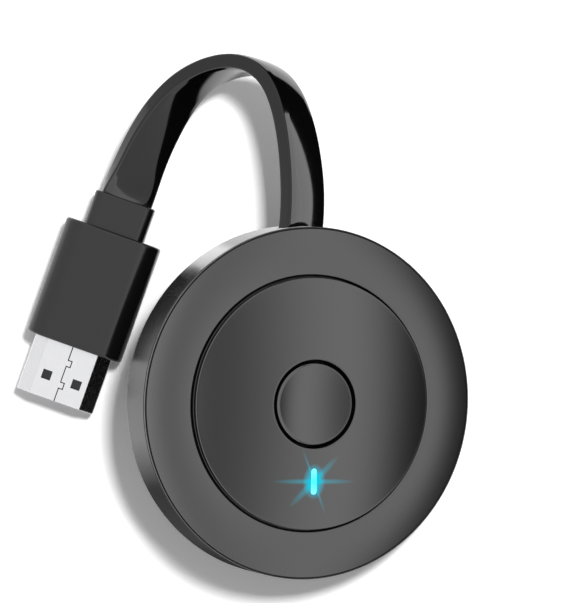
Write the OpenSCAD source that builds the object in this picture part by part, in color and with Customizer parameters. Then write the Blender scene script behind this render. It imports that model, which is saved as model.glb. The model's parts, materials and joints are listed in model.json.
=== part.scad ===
// Round wireless display dongle: a domed puck with a push button and a status light,
// a short flat lead and a moulded HDMI plug. Units are millimetres.
// The plug lies flat on the table. The puck leans on the lower edge of its case.

/* [Puck] */
// Radius of the case
puck_r = 30; // [29:0.5:36]
// Height of the side wall, up to the edge of the front
wall_h = 9.2; // [9:0.1:11]
// How far the front ring rises towards its inner edge
ring_rise = 0.3; // [0.1:0.05:0.5]
// Thickness of the case wall
case_wall = 1.6; // [1.3:0.1:1.8]
// Thickness of the case floor
floor_t = 1.6; // [1.2:0.1:1.7]
// Rounding of the lower edge
base_edge_r = 1; // [0.6:0.1:1.1]
// Height of the rim of the front cover
rim_t = 0.6; // [0.5:0.1:0.9]
// Depth of the shadow line between the cover and the wall
seam_depth = 0.3; // [0.2:0.05:0.4]
// Height of the shadow line between the cover and the wall
seam_h = 0.2; // [0.1:0.05:0.3]
// Depth of the skirt of the front cover inside the wall
skirt_h = 0.6; // [0.4:0.1:0.8]
// Thickness of that skirt
skirt_t = 1.2; // [1:0.1:1.6]

/* [Centre plate] */
// Width of the front ring
ring_w = 7.9; // [7:0.1:9]
// Width of the groove round the plate
groove_w = 0.5; // [0.4:0.05:0.8]
// How far the edge of the plate stands above the front ring
plate_lift = 1; // [0.4:0.1:1.4]
// How far the middle of the plate stands above its edge
plate_dome = 1.1; // [0.8:0.1:1.6]
// Depth of the plate's seat below the edge of the front
plate_sink = 0.5; // [0.3:0.05:0.6]
// Chamfer along the edge of the plate
plate_chamfer = 0.45; // [0.2:0.05:0.6]
// Thickness of the ledge that carries the plate
ledge_t = 1.2; // [1:0.1:1.3]

/* [Button] */
// Radius of the button cap
button_r = 7.05; // [6.5:0.05:7.5]
// Gap round the button cap
button_gap = 0.45; // [0.3:0.05:0.6]
// Depth of the hollow in the button cap
button_dish = 0.25; // [0.1:0.05:0.5]
// Rounding of the edge of the button cap
button_edge_r = 0.35; // [0.2:0.05:0.5]
// Wall of the button cap
button_wall = 1.1; // [0.9:0.1:1.3]
// How far the flange of the button reaches past the cap
button_flange_w = 1.2; // [1:0.1:1.5]
// Thickness of that flange
button_flange_t = 0.5; // [0.4:0.05:0.6]
// Radius of the stem that presses the switch
button_stem_r = 1.6; // [1.4:0.1:1.9]
// Travel of the button
button_travel = 0.3; // [0.2:0.05:0.35]

/* [Light] */
// Place of the light, as a share of the way from the button's hole to the edge of the plate
light_share = 0.4; // [0.35:0.01:0.6]
// Width of the light window
light_w = 1; // [0.8:0.1:1.4]
// Length of the light window
light_l = 4.4; // [3.6:0.1:5]

/* [Lead] */
// Width of the flat lead
lead_w = 9.2; // [8.6:0.1:9.6]
// Thickness of the flat lead
lead_t = 3.2; // [2.8:0.1:3.4]
// Corner radius of the flat lead
lead_edge_r = 1.1; // [0.8:0.1:1.3]

/* [Plug] */
// Width of the plug housing
plug_w = 17.2; // [16.8:0.1:19]
// Length of the plug housing
plug_l = 21; // [20:0.1:23]
// Thickness of the plug housing
plug_t = 9.5; // [9:0.1:11]
// Rounding along the plug housing
plug_edge_r = 2.8; // [1.5:0.1:3.2]
// Width of the neck behind the housing
neck_w = 10.8; // [10.4:0.1:12]
// Thickness of the neck
neck_t = 5.5; // [4.6:0.1:6.2]
// Length of the neck
neck_l = 6.1; // [5:0.1:8]
// Rounding along the neck
neck_edge_r = 1.5; // [0.8:0.1:2]
// Width of the metal plug
metal_w = 13.9; // [13.8:0.05:14]
// Height of the metal plug
metal_h = 4.45; // [4.4:0.05:4.55]
// Sheet thickness of the metal plug
metal_t = 0.35; // [0.25:0.05:0.4]
// Length of the metal plug outside the housing
metal_out = 10; // [9.5:0.1:11]
// Length of the metal plug inside the housing
metal_in = 6; // [5:0.1:7]
// Width of each bevel of the metal plug
bevel_w = 2.35; // [2:0.05:2.6]
// Height of each bevel of the metal plug
bevel_h = 1.9; // [1.6:0.05:2.1]
// Side of each square latch window
window_w = 1.65; // [1.4:0.05:1.8]
// Distance between the two latch windows
window_pitch = 5.4; // [5:0.1:6]
// Distance from the tip to the latch windows
window_in = 3.1; // [2.6:0.1:3.6]

/* [Board] */
// Gap between the main board and the wall
board_gap = 2.4; // [1.6:0.1:2.8]
// Thickness of the main board
board_t = 1; // [0.8:0.1:1.1]
// Gap between the floor and the board
board_lift = 3; // [2.8:0.1:3.1]
// Distance of the board screws from the edge of the board
screw_inset = 3.4; // [2.8:0.1:4]
// Radius of a screw shank
screw_r = 1; // [0.9:0.05:1.1]
// Radius of a screw head
screw_head_r = 1.8; // [1.6:0.1:2]
// Height of a screw head
screw_head_h = 1; // [0.8:0.1:1.1]
// Radius of a screw post
post_r = 2.4; // [2.2:0.1:2.6]

/* [Stance] */
// Lean of the puck away from flat
lean = 23.4; // [20:0.2:28]
// Direction that the puck leans towards
lean_dir = -5; // [-10:1:4]
// Turn of the puck about its own axis
spin = 0; // [-2:0.5:4]
// Turn of the plug on the table
plug_turn = -19.6; // [-21:0.2:-18]

/* [Hidden] */

// Smoothness of round shapes, and of the long arcs of the dome
$fn = 96;
arc_fn = 1440;

// Overrun of cuts, and the clearances of fits
eps = 0.02;
cut = 1;
close_fit = 0.05;
loose_fit = 0.2;

// Radius of a sphere from its cap's radius and height
function cap_R(r, h) = (r * r + h * h) / (2 * h);

// Heights and radii inside the puck, above the back face
rim_edge_r = 0.3;
seam_z = wall_h - rim_t;
inner_r = puck_r - case_wall;
groove_r = puck_r - ring_w;
plate_r = groove_r - groove_w;
groove_z = wall_h + ring_rise;
plate_seat_z = wall_h - plate_sink;
ledge_z = plate_seat_z - ledge_t;
ledge_lap = 2;
hole_r = button_r + button_gap;
light_y = hole_r + light_share * (plate_r - hole_r);
board_r = inner_r - board_gap;
screw_pitch_r = board_r - screw_inset;
board_z = floor_t + board_lift;
board_top = board_z + board_t;
port_z = board_z;
skirt_fit = loose_fit;

// The plate follows a sphere
plate_edge_z = groove_z + plate_lift;
plate_R = cap_R(plate_r, plate_dome);
plate_low = plate_edge_z + plate_dome - plate_R;
function plate_z(r) = plate_low + sqrt(plate_R * plate_R - r * r);

// Tactile switch under the button
switch_w = 5.2;
switch_h = 0.8;
plunger_r = 1.2;
plunger_in = 0.25;
plunger_spare = 0.1;
plunger_out = button_travel + plunger_spare;
switch_floor = switch_h - plunger_in - button_travel - close_fit;
flange_gap = 0.2;
stem_z = board_top + switch_h + plunger_out;
flange_top = ledge_z - flange_gap;
flange_r = button_r + button_flange_w;
cap_roof = 1.4;
cap_top = plate_z(hole_r);
dish_R = cap_R(button_r - button_edge_r, button_dish);

// Light pipe and its emitter
lens_foot_w = 0.6;
lens_foot_t = 0.5;
lens_tail = 0.4;
emitter_l = 1.6;
emitter_w = 0.8;
emitter_h = 0.7;

// Power inlet, a small five-contact socket that sits in a notch of the board
usb_w = 7.5;
usb_h = 2.5;
usb_l = 5.6;
usb_t = 0.3;
usb_bevel_w = 1;
usb_bevel_h = 0.9;
usb_recess = 1.1;
usb_mouth_y = -(puck_r - usb_recess);
usb_rear_y = usb_mouth_y + usb_l;
usb_block_l = 1.6;
usb_tongue_w = 4;
usb_tongue_t = 0.6;
usb_tongue_set = 0.9;
usb_contact_w = 0.3;
usb_contact_t = 0.12;
usb_pitch = 0.65;
usb_count = 5;
usb_tab_w = 1.4;
usb_tab_l = 1.6;
usb_tab_t = 0.3;

// Gland that grips the lead inside the case
gland_w = 12;
gland_l = 4;
gland_top_gap = 0.2;
gland_seat_fit = 0.1;
gland_face_y = sqrt(inner_r * inner_r - gland_w * gland_w / 4) - gland_seat_fit;
gland_rear_y = gland_face_y - gland_l;
gland_h = ledge_z - skirt_h - gland_top_gap - floor_t;
wire_r = 0.45;
wire_pitch = 1.3;
wire_count = 7;
wire_l = 4.2;

// Pieces on the board: [length, width, height], and the place as shares of the board's radius
processor_size = [13, 13, 1.2];
processor_share = [0, 0.08];
pad_share = 0.85;
spreader_size = [20, 16, 0.8];
memory_size = [9, 7.5, 1];
memory_share = 0.56;
flash_size = [6, 5, 1];
flash_share = [-0.5, -0.08];
can_size = [11, 9, 1.5];
can_share = [0.66, 0.12];
can_t = 0.2;
radio_size = [6, 6, 0.9];
antenna_size = [9, 2.2, 1.1];
antenna_share = [-0.75, 0.15];
antenna_turn = 80;
crystal_size = [3.2, 2.5, 0.8];
crystal_share = [0.42, -0.3];
inductor_size = [4, 4, 1.5];
inductor_share = [-0.35, -0.65];
capacitor_size = [1.6, 0.8, 0.8];
capacitor_shares = [[-0.12, 0.46], [-0.23, 0.46], [-0.35, 0.46], [-0.46, 0.35], [-0.46, 0.23],
    [0.23, 0.46], [-0.58, -0.27], [-0.46, -0.35], [-0.5, -0.54], [0.27, -0.62], [0.39, -0.62], [0.2, -0.4]];
screw_angles = [40, 140, 220, 320];
shank_below = 2;

// Insides of the plug
can_wall = 0.3;
can_lap = 1.2;
can_l = 13;
can_play = 0.05;
insulator_wall = 0.85;
insulator_recess = 0.6;
slot_depth = 9;
contact_pitch = 0.5;
contact_w = 0.25;
contact_t = 0.15;
contact_recess = 0.8;
contact_count = 10;
slot_side = 0.1;
slot_w = 2 * (contact_count - 1) * contact_pitch + contact_w + 2 * slot_side;
seam_w = 0.12;
seam_jog = 0.7;
seam_jog_l = 1.1;
seam_jog_places = [2.4, 6.4];
metal_edge_r = 0.45;

// Where the puck stands: its lean, and how far the leaning case reaches each way
function turn_z(p, a) = [p[0] * cos(a) - p[1] * sin(a), p[0] * sin(a) + p[1] * cos(a), p[2]];
function turn_y(p, a) = [p[0] * cos(a) + p[2] * sin(a), p[1], p[2] * cos(a) - p[0] * sin(a)];
function puck_turn(p) = turn_z(turn_y(turn_z(p, spin - lean_dir), lean), lean_dir);
puck_n = puck_turn([0, 0, 1]);
// Reach of a rounded edge of the puck along an axis of the room, from the middle of its arc
function edge_reach(axis, e) = (puck_r - e) * sqrt(1 - puck_n[axis] * puck_n[axis]) + e;
function high(axis) = max(puck_n[axis] * base_edge_r + edge_reach(axis, base_edge_r),
    puck_n[axis] * (wall_h - rim_edge_r) + edge_reach(axis, rim_edge_r));
function low(axis) = min(puck_n[axis] * base_edge_r - edge_reach(axis, base_edge_r),
    puck_n[axis] * (wall_h - rim_edge_r) - edge_reach(axis, rim_edge_r));
puck_at = [-(high(0) + low(0)) / 2, -(high(1) + low(1)) / 2, -low(2)];
function puck_point(p) = puck_at + puck_turn(p);

// Where the plug lies: the middle of its housing, on the table
plug_at = [-35.7, 19.2, 0];
plug_axis_z = plug_t / 2;
function plug_point(p) = plug_at + turn_z(p, plug_turn);
neck_top_y = plug_l / 2 + neck_l;
metal_tip_y = -plug_l / 2 - metal_out;
metal_rear_y = -plug_l / 2 + metal_in;

module in_puck() {
    translate(puck_at) rotate([0, 0, lean_dir]) rotate([0, lean, 0]) rotate([0, 0, spin - lean_dir])
        children();
}

module in_plug() {
    translate(plug_at) rotate([0, 0, plug_turn]) children();
}

// Outline with round corners, made of squares and circles so that its arcs stay true
module round_rect(w, h, r) {
    square([w - 2 * r, h], center = true);
    square([w, h - 2 * r], center = true);
    for (x = [-1, 1], y = [-1, 1]) translate([x * (w / 2 - r), y * (h / 2 - r)]) circle(r);
}

// Capsule along y
module capsule(w, l) {
    square([w, l - w], center = true);
    for (y = [-1, 1]) translate([0, y * (l - w) / 2]) circle(w / 2);
}

// Half section below the dome of the plate
module under_plate() {
    intersection() {
        translate([0, plate_low]) circle(plate_R, $fn = arc_fn);
        square([puck_r, plate_low + plate_R]);
    }
}

// Block on or under the board, placed by shares of the board's radius
module block(size, share, z) {
    translate([share[0] * board_r, share[1] * board_r, z + size[2] / 2]) cube(size, center = true);
}

// Bevelled outline of a display plug: its narrow side is up
module metal_outline(w, h, bw, bh) {
    polygon([[-w / 2, -h / 2], [w / 2, -h / 2], [w / 2, h / 2 - bh], [w / 2 - bw, h / 2],
        [bw - w / 2, h / 2], [-w / 2, h / 2 - bh]]);
}

// Outline of the power socket: its narrow side is down
module usb_outline(shrink) {
    w = usb_w - 2 * shrink;
    h = usb_h - 2 * shrink;
    polygon([[-w / 2, h / 2], [w / 2, h / 2], [w / 2, usb_bevel_h - h / 2], [w / 2 - usb_bevel_w, -h / 2],
        [usb_bevel_w - w / 2, -h / 2], [-w / 2, usb_bevel_h - h / 2]]);
}

// Extrude an outline in x and z along y, from y0 to y1
module along_y(y0, y1, z) {
    translate([0, y1, z]) rotate([90, 0, 0]) linear_extrude(y1 - y0) children();
}

module screw_places() {
    for (a = screw_angles) rotate([0, 0, a]) translate([screw_pitch_r, 0, 0]) children();
}

// Tub with the side wall, the screw posts, the lead's slot and the inlet's window
module back_shell() {
    color("#202122") in_puck() difference() {
        union() {
            difference() {
                rotate_extrude() case_section();
                translate([0, 0, floor_t]) cylinder(r = inner_r, h = wall_h);
                difference() {
                    translate([0, 0, seam_z - seam_h]) cylinder(r = puck_r + cut, h = wall_h);
                    translate([0, 0, seam_z - seam_h - cut]) cylinder(r = puck_r - seam_depth, h = wall_h);
                }
                translate([0, 0, seam_z]) cylinder(r = puck_r + cut, h = wall_h);
            }
            screw_places() translate([0, 0, floor_t - eps]) cylinder(r = post_r, h = board_lift + eps);
        }
        screw_places() translate([0, 0, board_z - shank_below - loose_fit])
            cylinder(r = screw_r + close_fit, h = shank_below + loose_fit + cut);
        along_y(gland_face_y - cut, puck_r + cut, port_z)
            round_rect(lead_w + 2 * loose_fit, lead_t + 2 * loose_fit, lead_edge_r + loose_fit);
        along_y(-puck_r - cut, -inner_r + case_wall, port_z) usb_outline(-loose_fit);
    }
}

// Half section of the case, solid, with its rounded lower edge
module case_section() {
    square([puck_r - base_edge_r, wall_h]);
    translate([0, base_edge_r]) square([puck_r, wall_h - base_edge_r]);
    translate([puck_r - base_edge_r, base_edge_r]) circle(base_edge_r);
}

// Front cover: the ring, the skirt inside the wall and the ledge that carries the plate
module front_cover() {
    lid_r = inner_r - skirt_fit;
    round_r = puck_r - rim_edge_r;
    color("#5d5e60") in_puck() difference() {
        rotate_extrude() {
            polygon([[groove_r, seam_z], [round_r, seam_z], [round_r, wall_h], [groove_r, groove_z]]);
            translate([groove_r, seam_z]) square([puck_r - groove_r, rim_t - rim_edge_r]);
            translate([round_r, wall_h - rim_edge_r]) circle(rim_edge_r);
            translate([groove_r, ledge_z]) square([lid_r - groove_r, wall_h - ledge_z]);
            translate([lid_r - skirt_t, ledge_z - skirt_h]) square([skirt_t, skirt_h + ledge_t]);
            translate([hole_r, ledge_z]) square([groove_r + ledge_lap - hole_r, ledge_t]);
        }
        light_slot();
    }
}

// Slot for the light pipe through the ledge and the plate
module light_slot() {
    translate([0, -light_y, ledge_z - cut]) linear_extrude(wall_h)
        capsule(light_w + 2 * close_fit, light_l + 2 * close_fit);
}

module centre_plate() {
    color("#56575a") in_puck() difference() {
        rotate_extrude() intersection() {
            under_plate();
            polygon([[hole_r, plate_seat_z], [plate_r, plate_seat_z], [plate_r, plate_edge_z - plate_chamfer],
                [plate_r - plate_chamfer, plate_edge_z], [hole_r, 2 * wall_h]]);
        }
        light_slot();
    }
}

// Push button: dished cap with a retaining flange and a stem
module button_cap() {
    flange_z = flange_top - button_flange_t;
    round_r = button_r - button_edge_r;
    color("#5f6062") in_puck() rotate_extrude() difference() {
        union() {
            translate([0, stem_z]) square([round_r, cap_top - stem_z]);
            translate([0, stem_z]) square([button_r, cap_top - button_edge_r - stem_z]);
            translate([round_r, cap_top - button_edge_r]) circle(button_edge_r);
            translate([0, flange_z]) square([flange_r, button_flange_t]);
        }
        translate([0, cap_top - button_dish + dish_R]) circle(dish_R, $fn = arc_fn);
        translate([button_stem_r, 0]) square([button_r - button_wall - button_stem_r, cap_top - cap_roof]);
        translate([button_stem_r, 0]) square([flange_r, flange_z]);
    }
}

module switch_plunger() {
    color("#2a2a2c") in_puck() translate([0, 0, stem_z - plunger_out - plunger_in])
        cylinder(r = plunger_r, h = plunger_out + plunger_in);
}

module switch_body() {
    color("#b9bbbd") in_puck() difference() {
        block([switch_w, switch_w, switch_h], [0, 0], board_top);
        translate([0, 0, board_top + switch_floor]) cylinder(r = plunger_r + close_fit, h = switch_h);
    }
}

// Light pipe: a capsule window flush with the plate, and a foot under the ledge
module light_lens() {
    color("#35d8e6") in_puck() {
        intersection() {
            translate([0, -light_y, ledge_z - lens_foot_t - lens_tail]) linear_extrude(2 * wall_h)
                capsule(light_w, light_l);
            rotate_extrude() under_plate();
        }
        translate([0, -light_y, ledge_z - lens_foot_t]) linear_extrude(lens_foot_t)
            capsule(light_w + 2 * lens_foot_w, light_l + 2 * lens_foot_w);
    }
}

module light_emitter() {
    color("#f0efe4") in_puck() translate([0, -light_y, 0])
        block([emitter_w, emitter_l, emitter_h], [0, 0], board_top);
}

// Round board with notches for the inlet and the gland
module main_board() {
    color("#1d5a3a") in_puck() difference() {
        translate([0, 0, board_z]) cylinder(r = board_r, h = board_t);
        screw_places() translate([0, 0, board_z - cut])
            cylinder(r = screw_r + loose_fit, h = board_t + 2 * cut);
        translate([-usb_w / 2 - loose_fit, -puck_r, board_z - cut])
            cube([usb_w + 2 * loose_fit, puck_r + usb_rear_y + loose_fit, board_t + 2 * cut]);
        translate([-gland_w / 2 - loose_fit, gland_rear_y - loose_fit, board_z - cut])
            cube([gland_w + 2 * loose_fit, puck_r, board_t + 2 * cut]);
    }
}

module processor_chip() {
    color("#2b2c2e") in_puck() block(processor_size, processor_share, board_z - processor_size[2]);
}

// Soft pad between the processor and the spreader
module thermal_pad() {
    pad_z = floor_t + spreader_size[2];
    pad_h = board_z - processor_size[2] - pad_z;
    color("#8fa6b5") in_puck() block([processor_size[0] * pad_share, processor_size[1] * pad_share, pad_h],
        processor_share, pad_z);
}

module heat_spreader() {
    color("#c6c8ca") in_puck() block(spreader_size, processor_share, floor_t);
}

module memory_chips() {
    color("#2b2c2e") in_puck() for (side = [-1, 1])
        block(memory_size, [side * memory_share, processor_share[1]], board_z - memory_size[2]);
}

module flash_chip() {
    color("#2f3032") in_puck() block(flash_size, flash_share, board_top);
}

module wireless_chip() {
    color("#2b2c2e") in_puck() block(radio_size, can_share, board_top);
}

// Pressed metal lid over the radio
module shield_can() {
    color("#c9cbcd") in_puck() difference() {
        block(can_size, can_share, board_top);
        block([can_size[0] - 2 * can_t, can_size[1] - 2 * can_t, can_size[2]], can_share, board_top - can_t);
    }
}

module antenna() {
    color("#d8d2c0") in_puck() translate([antenna_share[0] * board_r, antenna_share[1] * board_r, 0])
        rotate([0, 0, antenna_turn]) block(antenna_size, [0, 0], board_top);
}

module crystal() {
    color("#cdb878") in_puck() block(crystal_size, crystal_share, board_top);
}

module power_inductor() {
    color("#3a3b3d") in_puck() block(inductor_size, inductor_share, board_top);
}

module board_capacitors() {
    color("#b08a5c") in_puck() for (p = capacitor_shares) block(capacitor_size, p, board_top);
}

module board_screws() {
    color("#b4b6b8") in_puck() screw_places() {
        translate([0, 0, board_z - shank_below]) cylinder(r = screw_r, h = shank_below + board_t + eps);
        translate([0, 0, board_top]) cylinder(r = screw_head_r, h = screw_head_h);
    }
}

module usb_shell() {
    color("#c4c6c8") in_puck() {
        along_y(usb_mouth_y, usb_rear_y, port_z) difference() {
            usb_outline(0);
            usb_outline(usb_t);
        }
        for (side = [-1, 1]) translate([side * (usb_w + usb_tab_w - usb_t) / 2,
            usb_rear_y - usb_tab_l / 2, board_top + usb_tab_t / 2])
            cube([usb_tab_w + usb_t, usb_tab_l, usb_tab_t], center = true);
    }
}

// Insulating block at the back of the inlet, with its tongue
module usb_tongue() {
    color("#19191b") in_puck() {
        along_y(usb_rear_y - usb_block_l, usb_rear_y, port_z) usb_outline(usb_t + close_fit);
        translate([0, (usb_mouth_y + usb_tongue_set + usb_rear_y) / 2, port_z])
            cube([usb_tongue_w, usb_l - usb_tongue_set, usb_tongue_t], center = true);
    }
}

module usb_contacts() {
    contact_l = usb_l - usb_block_l - 2 * usb_tongue_set;
    color("#d9b25a") in_puck() translate([0, usb_mouth_y + 2 * usb_tongue_set + contact_l / 2,
        port_z - (usb_tongue_t + usb_contact_t) / 2]) for (i = [0 : usb_count - 1])
        translate([(i - (usb_count - 1) / 2) * usb_pitch, 0, 0])
            cube([usb_contact_w, contact_l, usb_contact_t], center = true);
}

module cable_gland() {
    color("#242526") in_puck() translate([-gland_w / 2, gland_rear_y, floor_t])
        cube([gland_w, gland_l, gland_h]);
}

// Row of insulated wires that runs from y1 back by l, at height z
module wire_row(y1, l, z) {
    for (i = [0 : wire_count - 1]) translate([(i - (wire_count - 1) / 2) * wire_pitch, y1, z])
        rotate([90, 0, 0]) cylinder(r = wire_r, h = l, $fn = 24);
}

module cable_wires() {
    color("#b5482f") in_puck() wire_row(gland_rear_y, wire_l, board_top + wire_r + close_fit);
}

// Route of the lead: points that pull the curve, and which way the width points at each of them
lead_middle = [[0.7, 35, 17.9], [-0.2, 45.5, 18.3], [-3.2, 55.7, 17.4], [-10.1, 58.6, 15.2],
    [-19.2, 55.3, 12.5], [-25.1, 46.7, 9.4], [-28.1, 40, 6.5]];
lead_width = [[0.66, 0.15, -0.74], [0.57, 0.08, -0.82], [0.45, -0.04, -0.89], [0.51, -0.14, -0.85],
    [0.61, -0.05, -0.79], [0.84, -0.04, -0.55], [0.87, 0, -0.48]];
lead_straight = 3;
lead_steps = 4;
lead_corner_turns = [0, 45, 90];
lead_start = [0, gland_face_y, port_z];
lead_end = [0, neck_top_y, plug_axis_z];
lead_ends = [-1, 0, 1];
route = concat([for (e = lead_ends) puck_point(lead_start + [0, e * lead_straight, 0])], lead_middle,
    [for (e = lead_ends) plug_point(lead_end - [0, e * lead_straight, 0])]);
route_width = concat([for (e = lead_ends) puck_turn([1, 0, 0])], lead_width,
    [for (e = lead_ends) turn_z([1, 0, 0], plug_turn)]);
spans = len(route) - 3;
rings = spans * lead_steps;

function unit(v) = v / norm(v);
// A smooth blend of four neighbouring points, and the direction in which it runs
function blend(p, i, t) = ((1 - t) * (1 - t) * (1 - t) * p[i] + (3 * t * t * t - 6 * t * t + 4) * p[i + 1]
    + (1 + 3 * t + 3 * t * t - 3 * t * t * t) * p[i + 2] + t * t * t * p[i + 3]) / 6;
function slope(p, i, t) = (3 * t * t - 4 * t) * p[i + 1] - (1 - t) * (1 - t) * p[i]
    + (1 + 2 * t - 3 * t * t) * p[i + 2] + t * t * p[i + 3];
function span_of(k) = min(floor(k / lead_steps), spans - 1);
function mid(k) = blend(route, span_of(k), k / lead_steps - span_of(k));
function along(k) = unit(slope(route, span_of(k), k / lead_steps - span_of(k)));
function width_dir(k) = let (h = blend(route_width, span_of(k), k / lead_steps - span_of(k)), d = along(k))
    unit(h - (h * d) * d);
// Corner points of the lead's section, round in three points each
lead_section = [for (q = [0 : 3], a = lead_corner_turns)
    [(q == 0 || q == 3 ? 1 : -1) * (lead_w / 2 - lead_edge_r) + lead_edge_r * cos(q * 90 + a),
    (q < 2 ? 1 : -1) * (lead_t / 2 - lead_edge_r) + lead_edge_r * sin(q * 90 + a)]];
sides = len(lead_section);
function ring_points(k) = let (w = width_dir(k), n = cross(along(k), w))
    [for (s = lead_section) mid(k) + s[0] * w + s[1] * n];

module flat_lead() {
    color("#17181a") polyhedron(
        points = [for (k = [0 : rings], p = ring_points(k)) p],
        faces = concat([[for (j = [0 : sides - 1]) j]],
            [for (k = [0 : rings - 1], j = [0 : sides - 1], half = [0, 1])
                let (a = k * sides + j, b = k * sides + (j + 1) % sides, c = a + sides, d = b + sides)
                half == 0 ? [a, c, b] : [b, c, d]],
            [[for (j = [0 : sides - 1]) rings * sides + sides - 1 - j]]));
}

module plug_neck() {
    color("#3f4042") in_plug() along_y(plug_l / 2, neck_top_y, plug_axis_z)
        round_rect(neck_w, neck_t, neck_edge_r);
}

// Moulded housing, with the cavity that the inner can fills
module plug_housing() {
    color("#3f4042") in_plug() difference() {
        along_y(-plug_l / 2, plug_l / 2, plug_axis_z) round_rect(plug_w, plug_t, plug_edge_r);
        along_y(-plug_l / 2 - cut, metal_rear_y, plug_axis_z)
            metal_outline(metal_w + 2 * can_play, metal_h + 2 * can_play, bevel_w, bevel_h);
        along_y(-plug_l / 2 + can_lap, -plug_l / 2 + can_lap + can_l, plug_axis_z) can_outline(0);
    }
}

module can_outline(shrink) {
    grow = 2 * (can_play + can_wall - shrink);
    metal_outline(metal_w + grow, metal_h + grow, bevel_w, bevel_h);
}

// Crimped can round the back of the metal plug
module plug_inner_can() {
    can_y = -plug_l / 2 + can_lap;
    color("#b9bbbd") in_plug() difference() {
        along_y(can_y, can_y + can_l, plug_axis_z) can_outline(0);
        along_y(can_y - cut, can_y + can_l - can_wall, plug_axis_z) can_outline(can_wall);
    }
}

module plug_wires() {
    wires_y = -plug_l / 2 + can_lap + can_l - can_wall;
    color("#b5482f") in_plug() wire_row(wires_y, wires_y - metal_rear_y + close_fit, plug_axis_z);
}

// Sheet metal plug with its folded seam and two latch windows
module hdmi_shell() {
    color("#dfe0e2") in_plug() difference() {
        along_y(metal_tip_y, metal_rear_y, plug_axis_z) difference() {
            metal_outline(metal_w, metal_h, bevel_w, bevel_h);
            metal_outline(metal_w - 2 * metal_t, metal_h - 2 * metal_t, bevel_w, bevel_h);
        }
        translate([0, metal_tip_y, plug_axis_z + metal_h / 2 - metal_t - eps]) linear_extrude(metal_t + cut) {
            for (side = [-1, 1]) translate([side * window_pitch / 2, window_in + window_w / 2])
                square(window_w, center = true);
            folded_seam();
        }
    }
}

// Seam line along the top of the metal plug, which steps aside at two dovetails
module folded_seam() {
    difference() {
        translate([-seam_w / 2, -cut]) square([seam_w, metal_out + cut]);
        for (y = seam_jog_places) translate([-seam_w, y]) square([2 * seam_w, seam_jog_l]);
    }
    for (y = seam_jog_places) translate([-seam_w / 2, y]) {
        square([seam_jog, seam_w]);
        translate([seam_jog - seam_w, 0]) square([seam_w, seam_jog_l]);
        translate([0, seam_jog_l - seam_w]) square([seam_jog, seam_w]);
    }
}

// Insulator inside the metal plug, with the slot that takes the socket's tongue
module hdmi_insulator() {
    inner_w = metal_w - 2 * metal_t - 2 * close_fit;
    inner_h = metal_h - 2 * metal_t - 2 * close_fit;
    color("#1b1b1d") in_plug() difference() {
        along_y(metal_tip_y + insulator_recess, metal_rear_y - close_fit, plug_axis_z)
            metal_outline(inner_w, inner_h, bevel_w, bevel_h);
        along_y(metal_tip_y - cut, metal_tip_y + slot_depth, plug_axis_z)
            square([slot_w, inner_h - 2 * insulator_wall], center = true);
    }
}

// Nineteen contacts in two staggered rows on the walls of the slot
module hdmi_contacts() {
    slot_half = metal_h / 2 - metal_t - close_fit - insulator_wall;
    color("#d9b25a") in_plug() for (row = [0, 1], i = [0 : contact_count - 1 - row])
        translate([(2 * i - contact_count + 1 + row) * contact_pitch, metal_tip_y + contact_recess,
            plug_axis_z + (row == 0 ? 1 : -1) * (slot_half - contact_t / 2)])
            translate([0, (slot_depth - contact_recess) / 2, 0])
                cube([contact_w, slot_depth - contact_recess, contact_t], center = true);
}

back_shell();
front_cover();
centre_plate();
button_cap();
switch_plunger();
switch_body();
light_lens();
light_emitter();
main_board();
processor_chip();
thermal_pad();
heat_spreader();
memory_chips();
flash_chip();
wireless_chip();
shield_can();
antenna();
crystal();
power_inductor();
board_capacitors();
board_screws();
usb_shell();
usb_tongue();
usb_contacts();
cable_gland();
cable_wires();
flat_lead();
plug_neck();
plug_housing();
plug_inner_can();
plug_wires();
hdmi_shell();
hdmi_insulator();
hdmi_contacts();
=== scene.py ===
import json
import math
import bpy
import bmesh
from mathutils import Matrix, Vector


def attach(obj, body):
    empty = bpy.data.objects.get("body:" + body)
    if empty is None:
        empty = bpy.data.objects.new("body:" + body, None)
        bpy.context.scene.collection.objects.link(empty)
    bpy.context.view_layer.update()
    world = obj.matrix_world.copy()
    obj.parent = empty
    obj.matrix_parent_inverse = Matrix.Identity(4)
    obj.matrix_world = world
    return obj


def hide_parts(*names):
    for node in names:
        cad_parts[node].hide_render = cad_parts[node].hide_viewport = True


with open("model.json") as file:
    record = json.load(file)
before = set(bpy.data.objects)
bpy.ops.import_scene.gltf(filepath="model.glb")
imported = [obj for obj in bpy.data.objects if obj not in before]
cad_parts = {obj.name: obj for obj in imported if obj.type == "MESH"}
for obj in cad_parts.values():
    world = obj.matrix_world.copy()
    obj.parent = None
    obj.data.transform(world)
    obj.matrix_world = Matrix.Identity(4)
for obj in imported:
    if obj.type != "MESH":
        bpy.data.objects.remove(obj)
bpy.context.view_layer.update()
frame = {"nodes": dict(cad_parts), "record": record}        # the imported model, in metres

mm = 0.001
mounts = {m["name"]: m for m in frame["record"]["mounts"]}
print("frame loaded:", len(frame["nodes"]), "nodes")


def frameAt(origin, alongY, up):
    z = Vector(up).normalized()
    y = Vector(alongY)
    y = (y - y.dot(z) * z).normalized()
    x = y.cross(z)
    return Matrix(((x.x, y.x, z.x, origin[0]), (x.y, y.y, z.y, origin[1]),
                   (x.z, y.z, z.z, origin[2]), (0, 0, 0, 1)))


# The puck's frame: y runs from the power inlet to the lead, and z out of the front
puckFrame = frameAt(mounts["back_face"]["pos_m"], [-a for a in mounts["usb_power"]["axis"]],
                    [-a for a in mounts["back_face"]["axis"]])
# The plug's frame: y runs from its metal tip to its neck, and z up from the table
plugFrame = frameAt(mounts["plug_rest"]["pos_m"], [-a for a in mounts["hdmi_plug"]["axis"]], (0, 0, 1))

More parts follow.
